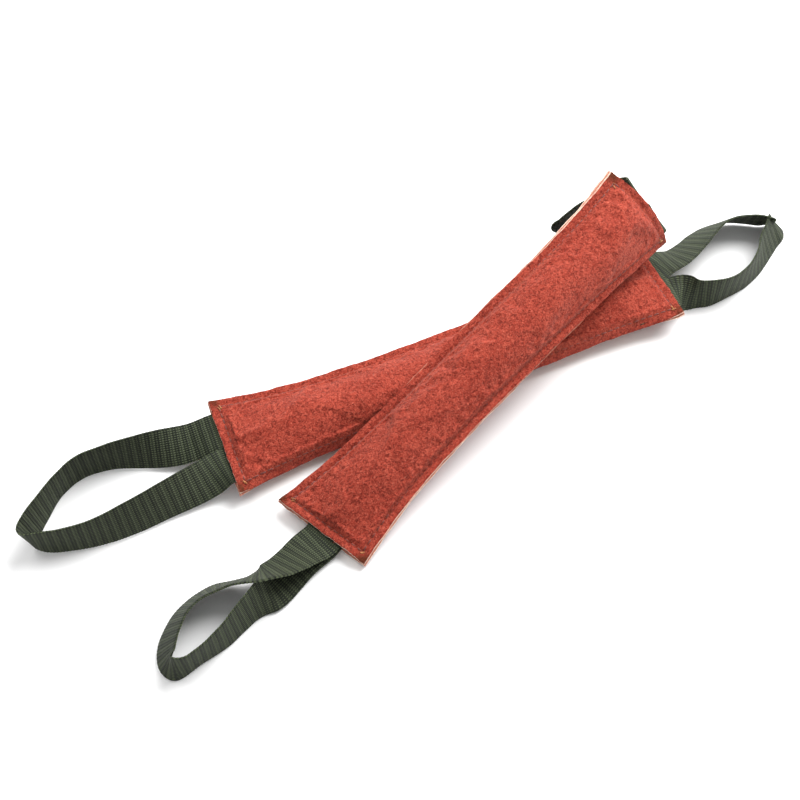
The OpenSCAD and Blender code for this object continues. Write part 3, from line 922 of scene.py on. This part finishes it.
def loop_rings(loop):
    """Middle points and width directions along a strap, from tail end to tail end"""
    st = STICKS[loop["stick"]]
    end = loop["end"]
    roots = loop["roots"]
    yaw = math.radians(st["yaw"])
    run = np.array([math.cos(yaw), math.sin(yaw), 0])
    left = np.array([-math.sin(yaw), math.cos(yaw), 0])
    base = stick_middle(st, end * HALF) * np.array([1, 1, 0])
    frame_of_end = end_frame(st, end, roots)
    clear = frame_of_end[2] * root_clearance(roots)
    lead = frame_of_end[2] * loop["lead"]
    ends = [strand_point(st, end, roots, k) + clear for k in (0, 1)]
    spots = [base + run * end * p[0] + left * p[1] + np.array([0, 0, p[2]]) for p in loop["route"]]
    points = np.array([ends[0], ends[0] + lead, *spots, ends[1] + lead, ends[1]])
    turned = 180 if loop["route"][-1][3] > 90 else 0
    first = st["roll"][0 if end < 0 else 1]
    last = turned - first
    tilts = [first, first, *[p[3] for p in loop["route"]], last, last]
    rows = soften(even_spacing(smooth_path(points, tilts), WEB_STEP), SOFTEN_PASSES)
    tangent = unit(np.gradient(rows[:, :3], axis=0))
    side = unit(np.cross([0, 0, 1.0], tangent)) * end
    rise = unit(np.cross(tangent, side)) * end
    tilt = np.radians(rows[:, 3])[:, None]
    width = side * np.cos(tilt) + rise * np.sin(tilt)
    thick = unit(np.cross(tangent, width))
    tails = [tail_rings(st, end, roots, k) for k in (0, 1)]
    first_thick = np.sign(np.dot(tails[0][2][0], thick[0]))
    first_tail = (tails[0][0][::-1], tails[0][1][::-1], tails[0][2][::-1] * first_thick)
    last_width = np.sign(np.dot(tails[1][1][0], width[-1]))
    last_thick = np.sign(np.dot(tails[1][2][0], thick[-1]))
    last_tail = (tails[1][0], tails[1][1] * last_width, tails[1][2] * last_thick)
    outside = (rows[:, :3], width, thick)
    return [np.concatenate([first_tail[k], outside[k], last_tail[k]]) for k in range(3)]


def tail_rings(st, end, roots, k):
    """Rings of the part of a strand that lies inside the end seam, from the edge inwards"""
    count = int(TAIL / WEB_STEP)
    u = end * (HALF - np.linspace(0, TAIL, count + 1))
    h = strand_height(roots, k)
    middle = at(st, u, roots[k], h)
    low = at(st, u, roots[k] - WEB_W / 2, h)
    high = at(st, u, roots[k] + WEB_W / 2, h)
    width = unit(high - low)
    run = stick_axes(st, u)[0] * end
    thick = unit(np.cross(np.broadcast_to(run, width.shape), width))
    return middle, width, thick


def name_seed(name):
    return sum(ord(c) for c in name)


def strap(name, loop):
    """One webbing strap with its ribs, rounded selvedges and both sewn-in tails"""
    middle, width, thick = loop_rings(loop)
    run = np.concatenate([[0], np.cumsum(np.linalg.norm(np.diff(middle, axis=0), axis=1))])
    x = np.linspace(-1, 1, WEB_CELLS + 1)
    x = 0.8 * x + 0.2 * np.sin(x * math.pi / 2)
    rounding = np.sqrt(np.clip(1 - np.abs(x) ** 14, 0, 1)) * 0.62 + 0.38
    rib = np.abs(np.sin(math.pi * run / PICK_PITCH))[:, None]
    shift_rib = np.abs(np.cos(math.pi * run / PICK_PITCH))[:, None]
    near_edge = (np.abs(x) > SELVEDGE)[None, :]
    relief = np.where(near_edge, rib * 0.22, rib * 0.10) * MM
    back_relief = np.where(near_edge, shift_rib * 0.22, shift_rib * 0.10) * MM
    scallop = 1 + near_edge * rib * 0.012
    cup = (x ** 2 - 0.4)[None, :] * wave_noise(run, name_seed(name), 46 * MM)[:, None] * 0.25 * MM
    half = x[None, :] * WEB_W / 2 * scallop
    base = middle[:, None, :] + width[:, None, :] * half[..., None] + thick[:, None, :] * cup[..., None]
    depth = WEB_T / 2 - 0.1 * MM
    front = base + thick[:, None, :] * (depth * rounding[None, :] + relief)[..., None]
    back = base - thick[:, None, :] * (depth * rounding[None, :] + back_relief)[..., None]
    front[..., 2] = np.maximum(front[..., 2], FLOOR_GAP)
    back[..., 2] = np.maximum(back[..., 2], FLOOR_GAP)
    rows = len(middle) - 1
    count = (rows + 1) * (WEB_CELLS + 1)
    faces = [tuple(f) for f in grid_faces(rows, WEB_CELLS, 0)]
    faces += [tuple(f) for f in grid_faces(rows, WEB_CELLS, count, True)]
    faces += [f[::-1] for f in border_faces(rows, WEB_CELLS, 0, count)]
    vertices = np.concatenate([front.reshape(-1, 3), back.reshape(-1, 3)])
    obj = new_object(name + "_strap", vertices, faces, [WEBBING])
    across = np.broadcast_to(x[None, :] * WEB_W / 2, base.shape[:2]).ravel()
    along = np.broadcast_to(run[:, None], base.shape[:2]).ravel()
    coordinates = np.stack([np.tile(across, 2), np.tile(along, 2)], 1)
    uv = obj.data.uv_layers.new(name="weave")
    corners = np.empty(len(obj.data.loops), dtype=np.int32)
    obj.data.loops.foreach_get("vertex_index", corners)
    uv.data.foreach_set("uv", coordinates[corners].astype(np.float32).ravel())
    return obj


# ---- Building the object -----------------------------------------------------------------------

for stick_name, stick in STICKS.items():
    body = stick["body"]
    fill, pushes = stuffing(stick_name, stick)
    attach(fill, body)
    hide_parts(f"{stick_name}_stuffing")
    for side, label, seam_label, seam_node, proud in (
        (1, "top", "needle_seam", "needle_thread", 0.0),
        (-1, "bottom", "bobbin_seam", "bobbin_thread", 0.45),
    ):
        field = pushes[0 if side > 0 else 1]
        leather = panel(stick_name, stick, side, field, proud)
        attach(leather, body)
        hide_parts(f"{stick_name}_{label}_panel")
        stitches = thread(stick_name, stick, side, field, seam_label)
        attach(stitches, body)
        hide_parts(f"{stick_name}_{seam_node}")
        loose = fibres(stick_name, stick, side, field)
        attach(loose, body)

for loop_name, loop in LOOPS.items():
    webbing = strap(loop_name, loop)
    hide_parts(f"{loop_name}_tails", f"{loop_name}_loop")
    hinge, line, out, up = end_frame(STICKS[loop["stick"]], loop["end"], loop["roots"])
    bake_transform(webbing)


# ---- Floor, light and camera -------------------------------------------------------------------

def floor_material():
    n = Nodes("pale_floor")
    grain = n.noise(n.coords(), 40, 2, 0.5)
    color = n.mix(n.map(grain, 0, 1), (0.93, 0.93, 0.93), (0.95, 0.95, 0.95))
    return n.finish(color, None, 0.9, Specular_IOR_Level=0.1)


FLOOR_HALF = 3.0
WORLD_STRENGTH = 0.62
CAMERA_LENS = 56.475
CAMERA_SENSOR = 36
CAMERA_DISTANCE = 0.8
CAMERA_ELEVATION = 57.2
CAMERA_AZIMUTH = -115.08
CAMERA_TARGET = (-0.0364, -0.0012, 0)

floor = new_object(
    "floor",
    [(-FLOOR_HALF, -FLOOR_HALF, 0), (FLOOR_HALF, -FLOOR_HALF, 0), (FLOOR_HALF, FLOOR_HALF, 0),
     (-FLOOR_HALF, FLOOR_HALF, 0)],
    [(0, 1, 2, 3)], [floor_material()], smooth=False,
)

world = bpy.data.worlds.new("studio")
bpy.context.scene.world = world
world.use_nodes = True
world.node_tree.nodes["Background"].inputs["Color"].default_value = (1, 1, 1, 1)
world.node_tree.nodes["Background"].inputs["Strength"].default_value = WORLD_STRENGTH


def area_light(name, location, size, power):
    """A round lamp that faces the origin"""
    data = bpy.data.lights.new(name, "AREA")
    data.shape = "DISK"
    data.size = size
    data.energy = power
    obj = bpy.data.objects.new(name, data)
    obj.location = location
    obj.rotation_euler = vector_angles(-np.array(location))
    bpy.context.scene.collection.objects.link(obj)
    return obj


def vector_angles(direction):
    """Rotation that points an object's -Z along direction, with +Y up"""
    return Vector(direction).to_track_quat("-Z", "Y").to_euler()


area_light("key", location=(0.90, 0.42, 1.10), size=1.3, power=46)
area_light("fill_light", location=(-0.5, 0.9, 1.3), size=1.2, power=8)

camera_data = bpy.data.cameras.new("camera")
camera_data.lens = CAMERA_LENS
camera_data.sensor_width = CAMERA_SENSOR
camera = bpy.data.objects.new("camera", camera_data)
elevation = math.radians(CAMERA_ELEVATION)
azimuth = math.radians(CAMERA_AZIMUTH)
offset = np.array([
    math.cos(elevation) * math.cos(azimuth), math.cos(elevation) * math.sin(azimuth), math.sin(elevation),
]) * CAMERA_DISTANCE
camera.location = np.array(CAMERA_TARGET) + offset
camera.rotation_euler = vector_angles(-offset)
bpy.context.scene.collection.objects.link(camera)
bpy.context.scene.camera = camera
bpy.context.scene.view_settings.view_transform = "Standard"
